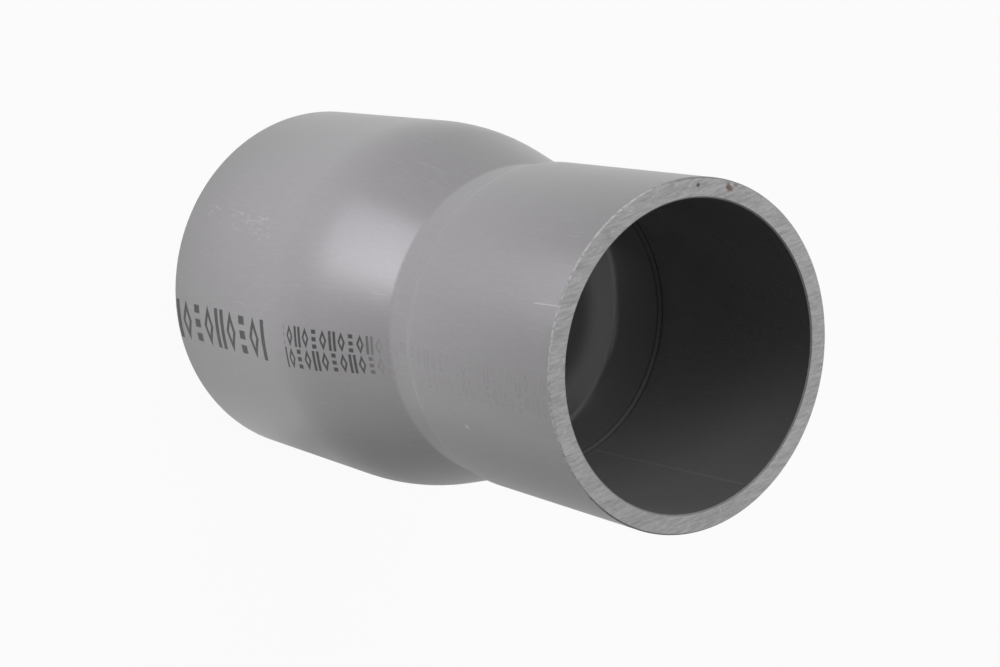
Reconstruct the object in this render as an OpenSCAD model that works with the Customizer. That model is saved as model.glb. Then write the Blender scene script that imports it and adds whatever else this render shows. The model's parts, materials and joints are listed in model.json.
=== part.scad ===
// Reducer coupling for rigid plastic conduit, formed in one piece from a length of pipe.
// It stands on its large end. +Z runs along the bore towards the small end.

/* [Sockets] */
// Bore of the large socket, a slip fit on 88.9 mm pipe
large_bore_d = 89.1; // [84:0.1:110]
// Straight length of the large socket, from its mouth
large_socket_depth = 54.5; // [35:0.5:75]
// Bore of the small socket, a slip fit on 73.0 mm pipe
small_bore_d = 73.4; // [60:0.1:78]
// Straight length of the small socket, from its mouth
small_socket_depth = 56; // [35:0.5:75]

/* [Wall] */
// Thickness of the wall at both sockets
wall = 4.8; // [3:0.1:6]
// Bevel that the saw and the scraper leave on the four mouth edges
edge_bevel = 0.35; // [0.1:0.05:0.8]

/* [Cone] */
// Slope of the cone's outside, in degrees from the axis
cone_angle = 15.5; // [13:0.5:20]
// Slope of the cone's bore, steeper because the wall thickens towards the neck
bore_cone_angle = 19; // [15:0.5:24]
// Bend radius of the bore where the large socket turns into the cone; the outside adds the wall
shoulder_bend_r = 70; // [30:1:80]

/* [Neck] */
// Straight length of the neck's outside
neck_length = 6.5; // [3:0.5:20]
// How far the neck's outside lies below that of the small socket
groove_depth = 1.4; // [0.8:0.1:1.8]
// Bend radius of the groove's foot, where the cone meets the neck
neck_bend_r = 7; // [3:0.5:15]
// Bend radius of the bore where the cone meets the neck
throat_bend_r = 12; // [5:0.5:20]

/* [Pipe stop] */
// Width of the ledge that stops the pipe in the small socket
ledge_width = 0.8; // [0.5:0.1:1.5]
// Slope of the ledge, in degrees from the axis
ledge_angle = 60; // [45:1:75]
// Radius of the ledge's two edges
ledge_edge_r = 0.3; // [0.1:0.05:0.4]
// Slope of the outside above the neck, in degrees from the axis
stop_angle = 30; // [20:1:45]
// Bend radius of the outside above the neck
stop_bend_r = 4; // [1:0.5:5]

/* [Hidden] */
// Flats on the round surfaces, and the largest step along a bend in degrees
$fn = 180;
BEND_STEP = 2.5;

large_bore_r = large_bore_d / 2;
large_outer_r = large_bore_r + wall;
small_bore_r = small_bore_d / 2;
small_outer_r = small_bore_r + wall;
neck_bore_r = small_bore_r - ledge_width;
neck_outer_r = small_outer_r - groove_depth;

// What a bend of radius 1 takes up along the axis on each side of its corner
function reach(angle) = tan(angle / 2);

// Height at which a skin's cone meets its neck, from the large mouth upwards
function neck_corner_z(large_r, neck_r, bend_r, angle) =
    large_socket_depth + bend_r * reach(angle) + (large_r - neck_r) / tan(angle);

outer_corner_z = neck_corner_z(large_outer_r, neck_outer_r, shoulder_bend_r + wall, cone_angle);
bore_corner_z = neck_corner_z(large_bore_r, neck_bore_r, shoulder_bend_r, bore_cone_angle);

// The ledge in the bore and the slope outside end at one height, the foot of the small socket
stop_z = outer_corner_z + neck_bend_r * reach(cone_angle) + neck_length
    + stop_bend_r * reach(stop_angle) + groove_depth / tan(stop_angle);
small_socket_z = stop_z + ledge_edge_r * reach(ledge_angle);
overall_length = small_socket_z + small_socket_depth;

// Points [r, z] of a bend between an upright line at radius r and a line at an angle.
// The bend touches the upright line at height z, and runs from angle a0 to a1 up the axis.
// side is 1 where the bend's centre lies nearer the axis, -1 where it lies outside.
function bend(r, z, radius, side, a0, a1) =
    let (steps = ceil(abs(a1 - a0) / BEND_STEP))
    [for (i = [0 : steps]) let (a = a0 + (a1 - a0) * i / steps)
        [r - side * radius * (1 - cos(a)), z + radius * sin(a)]];

// One skin of the wall: large cylinder, shoulder, cone, neck, stop and small cylinder
function skin(large_r, neck_r, small_r, cone, shoulder_r, corner_z, foot_r, slope, stop_r) = concat(
    bend(large_r, large_socket_depth, shoulder_r, 1, 0, cone),
    bend(neck_r, corner_z + foot_r * reach(cone), foot_r, -1, -cone, 0),
    bend(neck_r, stop_z - (small_r - neck_r) / tan(slope) - stop_r * reach(slope), stop_r, -1, 0, slope),
    bend(small_r, stop_z + stop_r * reach(slope), stop_r, 1, -slope, 0)
);

outside = skin(large_outer_r, neck_outer_r, small_outer_r, cone_angle, shoulder_bend_r + wall,
    outer_corner_z, neck_bend_r, stop_angle, stop_bend_r);
bore = skin(large_bore_r, neck_bore_r, small_bore_r, bore_cone_angle, shoulder_bend_r,
    bore_corner_z, throat_bend_r, ledge_angle, ledge_edge_r);

function reversed(points) = [for (i = [len(points) - 1 : -1 : 0]) points[i]];

// The cut section of the wall, with its mouth edges bevelled
module wall_section() {
    polygon(concat(
        [[large_bore_r + edge_bevel, 0], [large_outer_r - edge_bevel, 0], [large_outer_r, edge_bevel]],
        outside,
        [[small_outer_r, overall_length - edge_bevel],
         [small_outer_r - edge_bevel, overall_length],
         [small_bore_r + edge_bevel, overall_length],
         [small_bore_r, overall_length - edge_bevel]],
        reversed(bore),
        [[large_bore_r, edge_bevel]]
    ));
}

module reducer_body() {
    color([0.56, 0.56, 0.56])
        rotate_extrude() wall_section();
}

reducer_body();
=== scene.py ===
"""Looks of the grey plastic reducer coupling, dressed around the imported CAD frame."""
import json
import math

import bpy
from mathutils import Matrix, Vector


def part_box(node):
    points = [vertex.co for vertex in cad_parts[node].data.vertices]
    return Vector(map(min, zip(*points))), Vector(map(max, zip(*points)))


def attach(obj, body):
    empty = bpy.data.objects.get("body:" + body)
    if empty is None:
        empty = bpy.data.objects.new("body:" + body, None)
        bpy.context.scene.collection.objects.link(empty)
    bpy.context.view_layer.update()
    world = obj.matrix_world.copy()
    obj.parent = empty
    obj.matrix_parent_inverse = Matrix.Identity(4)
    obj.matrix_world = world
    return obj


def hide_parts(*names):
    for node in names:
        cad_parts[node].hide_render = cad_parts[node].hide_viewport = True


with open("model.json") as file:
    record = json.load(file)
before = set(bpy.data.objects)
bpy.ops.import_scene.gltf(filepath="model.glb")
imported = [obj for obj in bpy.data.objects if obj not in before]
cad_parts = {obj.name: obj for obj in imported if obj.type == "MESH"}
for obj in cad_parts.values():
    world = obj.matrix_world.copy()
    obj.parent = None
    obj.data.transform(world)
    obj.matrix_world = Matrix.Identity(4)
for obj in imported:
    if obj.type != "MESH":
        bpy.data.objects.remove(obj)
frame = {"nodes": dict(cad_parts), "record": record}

bl_info = {
    "name": "Reducer coupling",
    "version": (1, 0, 0),
    "blender": (4, 5, 0),
    "location": "3D View > Sidebar > Coupling",
    "description": "Turns up the wall of a conduit reducer, ages its plastic and sets its stage",
    "category": "Add Mesh",
}

CAD_NODE = "reducer_body"
MM = 0.001

MOUNTS = {mount["name"]: mount for mount in frame["record"]["mounts"]}
LARGE_BORE_R = MOUNTS["large_socket"]["dims"]["r_mm"] * MM
CAD_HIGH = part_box(CAD_NODE)[1]
LENGTH = CAD_HIGH[2]
LARGE_OUTER_R = CAD_HIGH[0]
STOP_Z = LENGTH - MOUNTS["small_socket"]["dims"]["length_mm"] * MM
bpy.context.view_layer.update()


class WallSizes(bpy.types.PropertyGroup):
    """How finely the wall is turned, and how far its forming strayed."""

    segments: bpy.props.IntProperty(
        name="Segments", description="Sides of each ring of the wall", default=288, min=96, max=360
    )
    ring_gap: bpy.props.FloatProperty(
        name="Ring gap", description="Largest distance between two rings", default=6 * MM,
        subtype="DISTANCE", unit="LENGTH",
    )
    die_stray: bpy.props.FloatProperty(
        name="Die stray", description="How far the forming die sat off the axis at the pipe stop",
        default=0.7 * MM, subtype="DISTANCE", unit="LENGTH",
    )
    crease_angle: bpy.props.FloatProperty(
        name="Crease angle", description="Edges that turn further than this stay sharp",
        default=math.radians(32), subtype="ANGLE", unit="ROTATION",
    )


class PlasticLook(bpy.types.PropertyGroup):
    """Colours and wear of the plastic."""

    body: bpy.props.FloatVectorProperty(
        name="Body", description="Grey of the formed plastic", subtype="COLOR", size=4,
        default=(0.272, 0.267, 0.270, 1), min=0, max=1,
    )
    body_pale: bpy.props.FloatVectorProperty(
        name="Rubbed", description="Grey where handling has rubbed the skin", subtype="COLOR", size=4,
        default=(0.45, 0.445, 0.45, 1), min=0, max=1,
    )
    sawn: bpy.props.FloatVectorProperty(
        name="Sawn face", description="Pale grey of the cut ends", subtype="COLOR", size=4,
        default=(0.68, 0.675, 0.685, 1), min=0, max=1,
    )
    sawn_dark: bpy.props.FloatVectorProperty(
        name="Sawn grooves", description="Darker grey in the saw's grooves", subtype="COLOR", size=4,
        default=(0.41, 0.405, 0.41, 1), min=0, max=1,
    )
    # Near white of the scraped edges, and of the painted highlights on the edges and in the throat.
    scraped_and_highlight: bpy.props.FloatVectorProperty(
        name="Scraped edge", description="Near white of freshly scraped plastic", subtype="COLOR", size=4,
        default=(0.85, 0.85, 0.86, 1), min=0, max=1,
    )
    ink: bpy.props.FloatVectorProperty(
        name="Ink", description="Black of the printer's marks", subtype="COLOR", size=4,
        default=(0.02, 0.02, 0.021, 1), min=0, max=1,
    )
    stain: bpy.props.FloatVectorProperty(
        name="Stain", description="Brown of the rusty stain on the cut end", subtype="COLOR", size=4,
        default=(0.16, 0.075, 0.035, 1), min=0, max=1,
    )
    roughness: bpy.props.FloatProperty(
        name="Roughness", description="Roughness of the formed skin", default=0.30, min=0, max=1
    )
    scratches: bpy.props.FloatProperty(
        name="Scratches", description="Strength of the fine scratches along the pipe", default=0.75,
        min=0, max=1,
    )


class StageLook(bpy.types.PropertyGroup):
    """Camera, floor and room light."""

    lens: bpy.props.FloatProperty(
        name="Lens", description="Focal length on a 36 mm sensor, in millimetres", default=75.05
    )
    mouth_right: bpy.props.FloatProperty(
        name="Mouth right", description="Small mouth's centre, to the right of the camera's line of sight",
        default=44.48 * MM, subtype="DISTANCE", unit="LENGTH",
    )
    mouth_up: bpy.props.FloatProperty(
        name="Mouth up", description="Small mouth's centre, above the camera's line of sight",
        default=-5.54 * MM, subtype="DISTANCE", unit="LENGTH",
    )
    mouth_away: bpy.props.FloatProperty(
        name="Mouth away", description="Small mouth's centre, ahead of the camera",
        default=478.13 * MM, subtype="DISTANCE", unit="LENGTH",
    )
    turn: bpy.props.FloatProperty(
        name="Turn", description="Turn of the part's axis to the right of the line of sight",
        default=math.radians(35.49), subtype="ANGLE", unit="ROTATION",
    )
    dip: bpy.props.FloatProperty(
        name="Dip", description="Dip of the part's axis below the line of sight",
        default=math.radians(7.34), subtype="ANGLE", unit="ROTATION",
    )
    floor_radius: bpy.props.FloatProperty(
        name="Floor radius", description="Radius of the pale floor", default=6,
        subtype="DISTANCE", unit="LENGTH",
    )
    floor_white: bpy.props.FloatProperty(
        name="Floor white", description="How far the floor shows as plain white behind the part",
        default=0.94, min=0, max=1,
    )
    room: bpy.props.FloatProperty(
        name="Room", description="Strength of the even light of the room", default=0.07, min=0
    )


class Value:
    """A number, vector or colour that varies over a surface; arithmetic on it adds Math nodes."""

    def __init__(self, graph, socket):
        self.graph = graph
        self.socket = socket

    def math(self, operation, *others):
        return self.graph.value("ShaderNodeMath", {"operation": operation}, dict(enumerate((self, *others))))

    def reflected(self, operation, first):
        return self.graph.value("ShaderNodeMath", {"operation": operation}, {0: first, 1: self})

    def __add__(self, other):
        return self.math("ADD", other)

    def __sub__(self, other):
        return self.math("SUBTRACT", other)

    def __mul__(self, other):
        return self.math("MULTIPLY", other)

    def __truediv__(self, other):
        return self.math("DIVIDE", other)

    def __pow__(self, other):
        return self.math("POWER", other)

    def __abs__(self):
        return self.math("ABSOLUTE")

    def __mod__(self, other):
        return self.math("FLOORED_MODULO", other)

    def __radd__(self, other):
        return self.reflected("ADD", other)

    def __rsub__(self, other):
        return self.reflected("SUBTRACT", other)

    def __rmul__(self, other):
        return self.reflected("MULTIPLY", other)

    def __rtruediv__(self, other):
        return self.reflected("DIVIDE", other)

    def least(self, other):
        return self.math("MINIMUM", other)

    def most(self, other):
        return self.math("MAXIMUM", other)

    def rise(self, start, end):
        """0 below start, 1 above end and smooth between; start may lie above end, for a fall."""
        return self.graph.value(
            "ShaderNodeMapRange", {"interpolation_type": "SMOOTHSTEP"},
            {"Value": self, "From Min": start, "From Max": end},
        )

    def near(self, centre, half_width, blur):
        """1 within half_width of centre, and 0 past blur outside it."""
        return abs(self - centre).rise(half_width + blur, half_width)


class Graph:
    """A material's node tree."""

    def __init__(self, name):
        self.material = bpy.data.materials.new(name)
        self.material.use_nodes = True
        self.tree = self.material.node_tree
        self.tree.nodes.clear()

    def node(self, kind, settings=None, sockets=None):
        made = self.tree.nodes.new(kind)
        for key, value in (settings or {}).items():
            setattr(made, key, value)
        for key, value in (sockets or {}).items():
            if isinstance(value, Value):
                self.tree.links.new(value.socket, made.inputs[key])
            else:
                made.inputs[key].default_value = value
        return made

    def value(self, kind, settings=None, sockets=None, output=0):
        return Value(self, self.node(kind, settings, sockets).outputs[output])

    def vector(self, x, y, z):
        return self.value("ShaderNodeCombineXYZ", None, {"X": x, "Y": y, "Z": z})

    def noise(self, vector, scale, detail=2.0, roughness=0.5, distortion=0.0):
        return self.value(
            "ShaderNodeTexNoise", {"noise_dimensions": "3D"},
            {
                "Vector": vector, "Scale": scale, "Detail": detail,
                "Roughness": roughness, "Distortion": distortion,
            },
        )

    def blend(self, share, first, second):
        """Colour that goes from first to second as share goes from 0 to 1."""
        mix = self.node("ShaderNodeMix", {"data_type": "RGBA"}, {0: share})
        for slot, colour in ((6, first), (7, second)):
            if isinstance(colour, Value):
                self.tree.links.new(colour.socket, mix.inputs[slot])
            else:
                mix.inputs[slot].default_value = colour
        return Value(self, mix.outputs[2])

    def finish(self, shader):
        self.node("ShaderNodeOutputMaterial", None, {"Surface": shader})
        return self.material


class PipeCoordinates:
    """Places on the pipe in millimetres and degrees, from Object coordinates."""

    def __init__(self, graph):
        self.place = graph.value("ShaderNodeTexCoord", None, None, "Object")
        split = graph.node("ShaderNodeSeparateXYZ", None, {0: self.place})
        self.x, self.y, self.z = (Value(graph, out) * (1 / MM) for out in split.outputs)
        self.radius = (self.x * self.x + self.y * self.y) ** 0.5
        self.angle = self.y.math("ARCTAN2", self.x) * (180 / math.pi)
        normal = graph.value("ShaderNodeNewGeometry", None, None, "Normal")
        facing = graph.node("ShaderNodeSeparateXYZ", None, {0: normal})
        across, along, _ = (Value(graph, out) for out in facing.outputs)
        self.outside = (self.x * across + self.y * along).rise(-2.0, 2.0)


# Rows of printed figures: the angle of their top edge and their height in degrees round the pipe,
# and where along the pipe they start, end and repeat, in millimetres
PRINT_TOP = -84.0
PRINT_HEIGHT = 14.0
TALL_END = 51.0
TALL_PITCH = 6.4
ROW_START, ROW_END = 61.0, 97.0
ROW_PITCH = 3.1
GHOST_START = 101.0

# Wear, painted highlights and painted shade: heights in millimetres above the large mouth with angles in
# degrees round the pipe, and x, y and radius in millimetres on the small end's cut face
NICK = (156.2, -105.8), (164.6, -106.2)
BORE_SCORE_AND_HIGHLIGHT = (109.5, 28.4), (163.5, 33.4)
SCUFF_Z, SCUFF_ANGLE = 26, -116
SPECK_Z, SPECK_ANGLE = 127.6, -59
SCRAPED_AND_HIGHLIGHT_ANGLE = -100
THROAT_Z = 89.9
LEDGE_Z = STOP_Z / MM - 0.66
STAIN = -39.3, 6.3, 1.7
FAINT_STAIN = -40.3, 8.2, 0.9
DARK_SPOT = -39.5, -3.1, 0.7
# Grey of the painted shade on the ledge in the bore
LEDGE_SHADE_GREY = (0.06, 0.06, 0.06, 1)
DARK_BROWN = (0.03, 0.025, 0.02, 1)


def simple_figures(u, v, figure):
    """Bars, rhombs and squares in a cell of 1 by 1; figure picks which of them a cell holds."""
    tall = v.near(0.5, 0.45, 0.02)
    bars = u.near(0.24, 0.11, 0.07).most(u.near(0.72, 0.11, 0.07)) * tall
    rhomb = (abs(u - 0.47) / 0.38 + abs(v - 0.5) / 0.46).near(0.76, 0.22, 0.12)
    squares = u.near(0.47, 0.20, 0.07) * (v * 3 % 1).near(0.5, 0.24, 0.10) * tall
    total = 0
    for number, mark in enumerate((bars, rhomb, squares, rhomb)):
        total = mark * figure.near(number, 0.4, 0.05) + total
    return total.least(1)


def printed_marks(graph, pipe):
    """Shares of fresh ink and of worn ink: a tall row at the large end and two low rows beyond it."""
    down = (pipe.angle - PRINT_TOP) / PRINT_HEIGHT
    tall_cell = pipe.z / TALL_PITCH + 0.45
    tall = simple_figures(tall_cell % 1, down, tall_cell.math("FLOOR") % 4)
    tall = tall * pipe.z.rise(TALL_END + 0.6, TALL_END)
    row_cell = pipe.z / ROW_PITCH
    row = (down * 2).math("FLOOR")
    low = simple_figures(row_cell % 1, (down * 2) % 1, (row_cell.math("FLOOR") * 3 + row * 2 + 1) % 4)
    low = low * down.near(0.5, 0.5, 0.001)
    fresh_low = low * pipe.z.rise(ROW_START - 0.2, ROW_START) * pipe.z.rise(ROW_END, ROW_END - 10)
    worn_low = low * pipe.z.rise(GHOST_START - 12, GHOST_START)
    patches = graph.noise(pipe.place, 260, 3, 0.6).rise(0.35, 0.62)
    fresh = tall.most(fresh_low) * pipe.outside
    return fresh, worn_low * pipe.outside * patches


def scratch(pipe, start, end, half_width):
    """A straight scratch between two (height, angle) places."""
    slope = (end[1] - start[1]) / (end[0] - start[0])
    drift = pipe.angle - pipe.z * slope
    along = pipe.z.rise(start[0] - 0.4, start[0] + 0.4) * pipe.z.rise(end[0] + 0.4, end[0] - 0.4)
    return drift.near(start[1] - start[0] * slope, half_width, half_width) * along


def spot(pipe, x, y, radius):
    """A soft round spot on a cut face."""
    gap = ((pipe.x - x) ** 2 + (pipe.y - y) ** 2) ** 0.5
    return gap.rise(radius, radius * 0.35)


def grey_plastic(look):
    """Formed conduit plastic: satin skin, scratches, rubbed patches, ink, sawn ends and scraped edges, with
    painted highlights on the edges, in the throat and along the bore, and painted shade on the ledge.
    """
    graph = Graph("grey_pvc_worn")
    pipe = PipeCoordinates(graph)
    in_bore = 1 - pipe.outside

    end_gap = pipe.z.least(LENGTH / MM - pipe.z)
    sawn = end_gap.rise(0.012, 0.004)
    edge = end_gap.rise(0.40, 0.34) * (1 - sawn)

    mottle = graph.noise(pipe.place, 28, 3, 0.55)
    grain = graph.noise(pipe.place, 900, 2, 0.6)
    draw_place = graph.vector(pipe.x / pipe.radius, pipe.y / pipe.radius, pipe.z * 0.004)
    draw_lines = graph.noise(draw_place, 60, 3, 0.6)
    hair = graph.noise(
        graph.vector(pipe.x / pipe.radius * 14, pipe.y / pipe.radius * 14, pipe.z * 0.005), 18, 2, 0.7, 0.3
    )
    rubbed_zone = graph.noise(pipe.place, 34, 2, 0.5).rise(0.42, 0.62)
    hair = hair.rise(0.62, 0.74) * rubbed_zone * pipe.outside

    scuff_zone = pipe.z.near(SCUFF_Z, 15, 12) * (pipe.angle - pipe.z * 0.12).near(SCUFF_ANGLE, 2.5, 3.5)
    scuff_place = graph.vector(pipe.x * 0.5, pipe.y * 0.5, pipe.z * 0.13)
    scuff = graph.noise(scuff_place, 1.6, 3, 0.75, 0.6).rise(0.56, 0.68) * scuff_zone * pipe.outside

    nick = scratch(pipe, *NICK, 0.16) * pipe.outside
    # A pale line along the bore: partly a real score, partly a painted highlight.
    bore_score_and_highlight = scratch(pipe, *BORE_SCORE_AND_HIGHLIGHT, 0.22) * in_bore
    speck = pipe.z.near(SPECK_Z, 0.5, 0.4) * pipe.angle.near(SPECK_ANGLE, 0.5, 0.5) * pipe.outside

    pale = (hair * look.scratches).most(scuff * 0.55).most(nick).most(bore_score_and_highlight * 0.45).most(speck * 0.9)
    shade = (mottle - 0.5) * 0.10 + (grain - 0.5) * 0.10 + (draw_lines - 0.5) * 0.10 + 1
    skin = graph.value(
        "ShaderNodeVectorMath", {"operation": "SCALE"},
        {0: graph.blend(pale, tuple(look.body), tuple(look.body_pale)), "Scale": shade},
    )

    fresh_ink, worn_ink = printed_marks(graph, pipe)
    ink_wear = graph.noise(pipe.place, 700, 3, 0.7).rise(0.28, 0.42)
    fresh_ink = fresh_ink * (ink_wear * 0.2 + 0.8)
    skin = graph.blend(worn_ink * 0.12, skin, tuple(look.ink))
    skin = graph.blend(fresh_ink, skin, tuple(look.ink))

    across_saw = graph.vector(pipe.x + pipe.y * 0.32, pipe.y * 0.16, 0.0)
    saw_lines = graph.noise(across_saw, 1.5, 4, 0.7, 0.25)
    saw_bands = graph.noise(graph.vector(pipe.x * 0.35 + pipe.y * 0.1, pipe.y * 0.05, 0.0), 1.0, 2, 0.5)
    flecks = graph.noise(pipe.place, 1100, 2, 0.6).rise(0.60, 0.72)
    saw_share = saw_lines.rise(0.32, 0.66) * 0.7 + saw_bands.rise(0.3, 0.7) * 0.3 + flecks * 0.5
    sawn_colour = graph.blend(saw_share, tuple(look.sawn_dark), tuple(look.sawn))
    stains = spot(pipe, *STAIN) * graph.noise(pipe.place, 900, 2, 0.6).rise(0.40, 0.56)
    stains = stains.most(spot(pipe, *FAINT_STAIN) * 0.6)
    sawn_colour = graph.blend(stains * 0.85, sawn_colour, tuple(look.stain))
    sawn_colour = graph.blend(spot(pipe, *DARK_SPOT) * 0.8, sawn_colour, DARK_BROWN)
    burr = graph.noise(pipe.place, 800, 3, 0.8).rise(0.36, 0.56)
    # Scraped edges are real wear; round one side they are made paler still, as a painted highlight.
    scraped_and_highlight = pipe.angle.near(SCRAPED_AND_HIGHLIGHT_ANGLE, 50, 22) * pipe.outside
    edge_scraped_and_highlight = edge * (burr * 0.5 + 0.45) * (scraped_and_highlight * 0.85 + 0.15)

    # Painted shade: a dark band round the bore at the pipe stop's ledge, with a rougher finish there.
    ledge_painted_shade = pipe.z.near(LEDGE_Z, 0.65, 0.20) * in_bore
    skin = graph.blend(ledge_painted_shade * 0.62, skin, LEDGE_SHADE_GREY)
    # Painted highlight: a pale band round the throat of the bore, in the near white of the edges.
    throat_painted_highlight = pipe.z.near(THROAT_Z, 0.3, 2.2) * in_bore
    skin = graph.blend(throat_painted_highlight * 0.6, skin, tuple(look.scraped_and_highlight))
    colour = graph.blend(sawn, skin, sawn_colour)
    colour = graph.blend(edge_scraped_and_highlight, colour, tuple(look.scraped_and_highlight))

    roughness = look.roughness + (mottle - 0.5) * 0.08 + (grain - 0.5) * 0.04 + pale * 0.20
    roughness = roughness + fresh_ink * 0.12 + sawn.most(edge) * 0.28 + ledge_painted_shade * 0.6

    skin_height = (grain - 0.5) * 0.010 + (draw_lines - 0.5) * 0.03 - nick * 0.03
    face_height = (saw_lines - 0.5) * 0.05
    height = skin_height * (1 - sawn) + face_height * sawn
    bump = graph.value("ShaderNodeBump", None, {"Height": height * MM, "Strength": 1.0, "Distance": 1.0})
    shader = graph.value(
        "ShaderNodeBsdfPrincipled", None,
        {"Base Color": colour, "Roughness": roughness.most(0.285).least(0.9), "Normal": bump, "IOR": 1.53},
    )
    return graph.finish(shader)


def wall_rings(node, die_stray):
    """The CAD wall's rings as (radius, height, shift along X): up its outside, then down its bore."""
    outside, bore = set(), set()
    for face in node.data.polygons:
        for corner in face.vertices:
            place = node.data.vertices[corner].co
            radius = math.hypot(place.x, place.y)
            lean = (place.x * face.normal.x + place.y * face.normal.y) / radius
            if abs(lean) > 0.1:
                (outside if lean > 0 else bore).add((round(place.z, 6), round(radius, 6)))
    up = [(radius, height, 0.0) for height, radius in thinned(sorted(outside))]
    down = [(radius, height, -die_stray * stray_share(height)) for height, radius in thinned(sorted(bore))]
    return up + down[::-1]


def thinned(rings):
    """Rings in order of height, without those that differ only by rounding."""
    kept = rings[:1]
    for ring in rings[1:]:
        if ring[0] - kept[-1][0] > 0.02 * MM:
            kept.append(ring)
    return kept


def stray_share(height):
    """How much of the die's stray a bore ring takes: all at the pipe stop, none at either mouth."""
    if height > STOP_Z:
        return (LENGTH - height) / (LENGTH - STOP_Z)
    share = max(0.0, 1 - (STOP_Z - height) / (0.5 * LENGTH))
    return share * share * (3 - 2 * share)


def filled(rings, gap):
    """The same rings with more between those that lie further apart than gap."""
    out = [rings[0]]
    for first, last in zip(rings, rings[1:]):
        steps = max(1, math.ceil(math.hypot(last[0] - first[0], last[1] - first[1]) / gap))
        for i in range(1, steps + 1):
            out.append(tuple(a + (b - a) * i / steps for a, b in zip(first, last)))
    return out


def activate(piece):
    bpy.ops.object.select_all(action="DESELECT")
    piece.select_set(True)
    bpy.context.view_layer.objects.active = piece


class REDUCER_OT_turn_wall(bpy.types.Operator):
    """Turn the wall up ring by ring, from the large mouth up the outside and back down the bore"""

    bl_idname = "reducer.turn_wall"
    bl_label = "Turn the wall"

    def execute(self, context):
        sizes = context.scene.reducer_wall
        rings = filled(wall_rings(frame["nodes"][CAD_NODE], sizes.die_stray), sizes.ring_gap)
        if len(rings) < 20:
            raise RuntimeError("the CAD wall gave too few rings")
        bpy.ops.object.select_all(action="DESELECT")
        radius, height, shift = rings[0]
        bpy.ops.mesh.primitive_circle_add(
            vertices=sizes.segments, radius=radius, fill_type="NOTHING", location=(shift, 0, height)
        )
        piece = context.active_object
        piece.name = piece.data.name = "reducer_wall"
        bpy.ops.object.mode_set(mode="EDIT")
        bpy.ops.mesh.select_all(action="SELECT")
        for next_radius, next_height, next_shift in rings[1:] + rings[:1]:
            bpy.ops.mesh.extrude_region_move(
                TRANSFORM_OT_translate={"value": (next_shift - shift, 0, next_height - height)}
            )
            growth = next_radius / radius
            bpy.ops.transform.resize(value=(growth, growth, 1), center_override=(next_shift, 0, next_height))
            radius, height, shift = next_radius, next_height, next_shift
        bpy.ops.mesh.select_all(action="SELECT")
        bpy.ops.mesh.remove_doubles(threshold=0.001 * MM)
        bpy.ops.mesh.normals_make_consistent(inside=False)
        bpy.ops.object.mode_set(mode="OBJECT")
        activate(piece)
        bpy.ops.object.transform_apply(location=True, rotation=True, scale=True)
        bpy.ops.object.shade_smooth_by_angle(angle=sizes.crease_angle)
        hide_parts(CAD_NODE)
        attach(piece, "root")
        return {"FINISHED"}


class REDUCER_OT_age_plastic(bpy.types.Operator):
    """Give the wall its worn grey plastic"""

    bl_idname = "reducer.age_plastic"
    bl_label = "Age the plastic"

    def execute(self, context):
        piece = bpy.data.objects.get("reducer_wall")
        if piece is None:
            raise RuntimeError("turn the wall first")
        piece.data.materials.clear()
        piece.data.materials.append(grey_plastic(context.scene.reducer_plastic))
        return {"FINISHED"}


def camera_frame(look):
    """Camera matrix in the part's frame, from where the small mouth and the axis lie in the picture."""
    axis = Vector((
        math.cos(look.dip) * math.sin(look.turn),
        -math.sin(look.dip),
        math.cos(look.dip) * math.cos(look.turn),
    ))
    picture_up = Vector((0, 1, 0))
    part_x = -(picture_up - axis * picture_up.dot(axis)).normalized()
    part_y = axis.cross(part_x)
    to_part = Matrix((part_x, part_y, axis))
    mouth = Vector((look.mouth_right, look.mouth_up, -look.mouth_away))
    place = Vector((0, 0, LENGTH)) - to_part @ mouth
    return Matrix.Translation(place) @ to_part.to_4x4()


# Light on the floor below the bore that its wall mirrors: the two radii in millimetres
# between which it comes in, and its level
BORE_RING = 23, 31, 0.46
BORE_DISC = 13, 9, 0.8
# Painted shade in the part's reflections: where the floor beside the part is mirrored dimly, darkening
# the part's underside: x and y in millimetres, the two radii between which it dims, and by how much
DIM_FLOOR = 125, 25, 95, 55, 0.95

# Name, place, aim, width, power in watts, spread in degrees, colour
LAMPS = [
    ("sky_lamp", (-0.84, 0, 0.64), (0, 0, 0.09), 0.50, 1.1, 180, (1.0, 0.99, 1.0)),
    ("high_lamp", (-0.50, 0, 0.96), (0, 0, 0.09), 0.50, 1.9, 180, (1.0, 1.0, 1.0)),
    ("back_lamp", (-0.05, 0.60, 0.90), (0, 0, 0.09), 0.50, 1.35, 180, (1.0, 1.0, 0.99)),
    ("far_side_lamp", (0.50, 0.86, 0.23), (0, 0, 0.09), 0.50, 1.0, 180, (1.0, 1.0, 1.0)),
    ("far_edge_lamp", (-0.50, 0.86, 0.23), (0, 0, 0.09), 0.50, 1.1, 180, (1.0, 1.0, 1.0)),
    ("front_card", (-0.078, -0.290, 0.012), (0, 0, 0.08), 0.13, 0.50, 180, (1.0, 0.99, 1.0)),
    ("low_side_card", (0.193, -0.230, 0.012), (0, 0, 0.09), 0.13, 0.14, 180, (1.0, 0.99, 0.97)),
    ("top_lamp", (0, 0, 1.20), (0, 0, 0.16), 0.25, 1.0, 180, (1.0, 1.0, 1.0)),
    ("window_card", (-0.092, -0.155, 0.012), (-0.016, -0.042, 0.086), 0.13, 0.062, 100, (0.94, 0.90, 1.0)),
]


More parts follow.
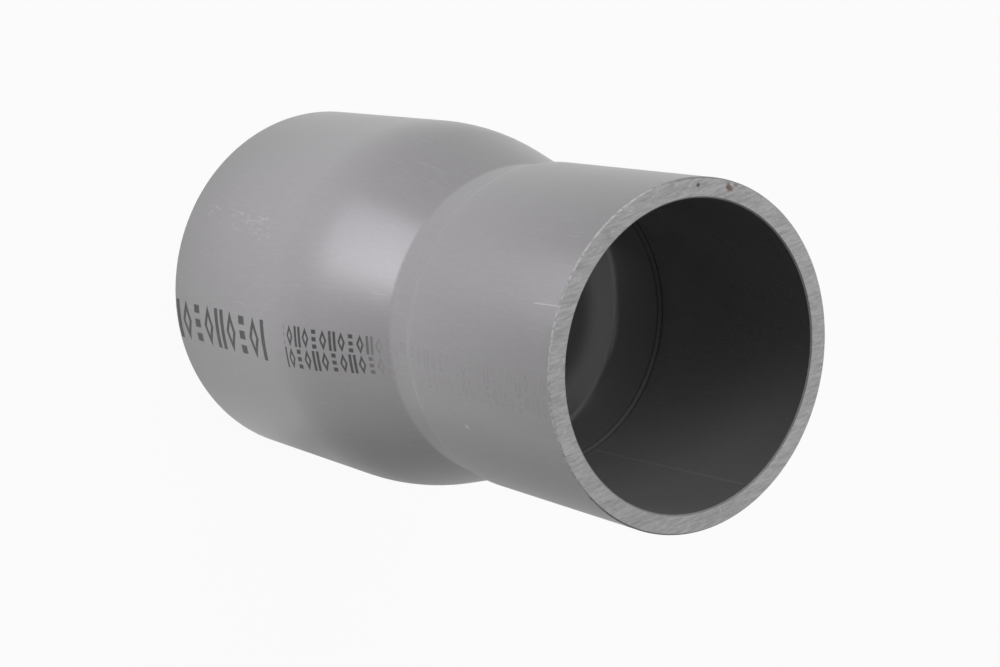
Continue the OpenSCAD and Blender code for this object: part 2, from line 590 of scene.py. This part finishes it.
class REDUCER_OT_set_stage(bpy.types.Operator):
    """Lay the floor, hang the lamps and place the camera at the photograph's viewing angle"""

    bl_idname = "reducer.set_stage"
    bl_label = "Set the stage"

    def execute(self, context):
        look = context.scene.reducer_stage
        self.lay_floor(look)
        self.light_room(context.scene, look)
        for lamp in LAMPS:
            self.hang_lamp(*lamp)
        self.place_camera(context.scene, look)
        context.scene.view_settings.view_transform = "Standard"
        return {"FINISHED"}

    @staticmethod
    def lay_floor(look):
        bpy.ops.object.select_all(action="DESELECT")
        bpy.ops.mesh.primitive_circle_add(vertices=96, radius=look.floor_radius, fill_type="NGON")
        floor = bpy.context.active_object
        floor.name = "pale_floor"
        graph = Graph("pale_floor")
        light_path = graph.node("ShaderNodeLightPath")
        floor_place = PipeCoordinates(graph)
        radius = floor_place.radius
        open_floor = radius.rise(LARGE_BORE_R / MM, LARGE_OUTER_R / MM)
        ring_start, ring_end, ring_level = BORE_RING
        disc_end, disc_start, disc_level = BORE_DISC
        ring = radius.rise(ring_start, ring_end) * ring_level
        mouth_light = ring.most(radius.rise(disc_end, disc_start) * disc_level)
        dim_x, dim_y, dim_end, dim_start, dimmer = DIM_FLOOR
        dim_gap = ((floor_place.x - dim_x) ** 2 + (floor_place.y - dim_y) ** 2) ** 0.5
        shaded = open_floor * (1 - dim_gap.rise(dim_end, dim_start) * dimmer)
        seen = (Value(graph, light_path.outputs["Is Camera Ray"]) * open_floor).most(
            Value(graph, light_path.outputs["Is Glossy Ray"]) * shaded.most(mouth_light)
        )
        # Painted shade: the paper inside the part's footprint is dark grey, under the bore.
        grey = graph.blend(open_floor, (0.10, 0.10, 0.10, 1), (0.80, 0.80, 0.80, 1))
        paper = graph.value("ShaderNodeBsdfDiffuse", None, {"Color": grey})
        white = graph.value("ShaderNodeEmission", None, {"Color": (1, 1, 1, 1), "Strength": 1.0})
        mixed = graph.value("ShaderNodeMixShader", None, {0: seen * look.floor_white, 1: paper, 2: white})
        floor.data.materials.append(graph.finish(mixed))

    @staticmethod
    def light_room(scene, look):
        world = bpy.data.worlds.new("pale_room")
        world.use_nodes = True
        tree = world.node_tree
        tree.nodes.clear()
        path = tree.nodes.new("ShaderNodeLightPath")
        even = tree.nodes.new("ShaderNodeBackground")
        even.inputs["Strength"].default_value = look.room
        even.inputs["Color"].default_value = (1, 1, 1, 1)
        plain = tree.nodes.new("ShaderNodeBackground")
        plain.inputs["Strength"].default_value = 1.0
        plain.inputs["Color"].default_value = (1, 1, 1, 1)
        mix = tree.nodes.new("ShaderNodeMixShader")
        out = tree.nodes.new("ShaderNodeOutputWorld")
        tree.links.new(path.outputs["Is Camera Ray"], mix.inputs[0])
        tree.links.new(even.outputs[0], mix.inputs[1])
        tree.links.new(plain.outputs[0], mix.inputs[2])
        tree.links.new(mix.outputs[0], out.inputs["Surface"])
        scene.world = world

    @staticmethod
    def hang_lamp(name, place, aim, width, power, spread, colour):
        data = bpy.data.lights.new(name, "AREA")
        data.shape = "DISK"
        data.size = width
        data.energy = power
        data.spread = math.radians(spread)
        data.color = colour
        lamp = bpy.data.objects.new(name, data)
        lamp.location = place
        lamp.rotation_euler = (Vector(aim) - Vector(place)).to_track_quat("-Z", "Y").to_euler()
        lamp.visible_camera = False
        bpy.context.scene.collection.objects.link(lamp)

    @staticmethod
    def place_camera(scene, look):
        data = bpy.data.cameras.new("photo_camera")
        data.sensor_width = 36
        data.lens = look.lens
        camera = bpy.data.objects.new("photo_camera", data)
        camera.matrix_world = camera_frame(look)
        scene.collection.objects.link(camera)
        scene.camera = camera


class REDUCER_PT_panel(bpy.types.Panel):
    """Sizes, colours and steps of the reducer coupling"""

    bl_idname = "REDUCER_PT_panel"
    bl_label = "Reducer coupling"
    bl_space_type = "VIEW_3D"
    bl_region_type = "UI"
    bl_category = "Coupling"

    def draw(self, context):
        for operator, group in (
            ("reducer.turn_wall", context.scene.reducer_wall),
            ("reducer.age_plastic", context.scene.reducer_plastic),
            ("reducer.set_stage", context.scene.reducer_stage),
        ):
            box = self.layout.box()
            box.operator(operator)
            for name in group.__annotations__:
                box.prop(group, name)


CLASSES = (
    WallSizes,
    PlasticLook,
    StageLook,
    REDUCER_OT_turn_wall,
    REDUCER_OT_age_plastic,
    REDUCER_OT_set_stage,
    REDUCER_PT_panel,
)
GROUPS = {"reducer_wall": WallSizes, "reducer_plastic": PlasticLook, "reducer_stage": StageLook}


def register():
    for cls in CLASSES:
        bpy.utils.register_class(cls)
    for name, group in GROUPS.items():
        setattr(bpy.types.Scene, name, bpy.props.PointerProperty(type=group))


def unregister():
    for name in GROUPS:
        delattr(bpy.types.Scene, name)
    for cls in reversed(CLASSES):
        bpy.utils.unregister_class(cls)


def main():
    register()
    bpy.ops.reducer.turn_wall()
    bpy.ops.reducer.age_plastic()
    bpy.ops.reducer.set_stage()
    bpy.context.view_layer.update()


if __name__ == "__main__":
    main()
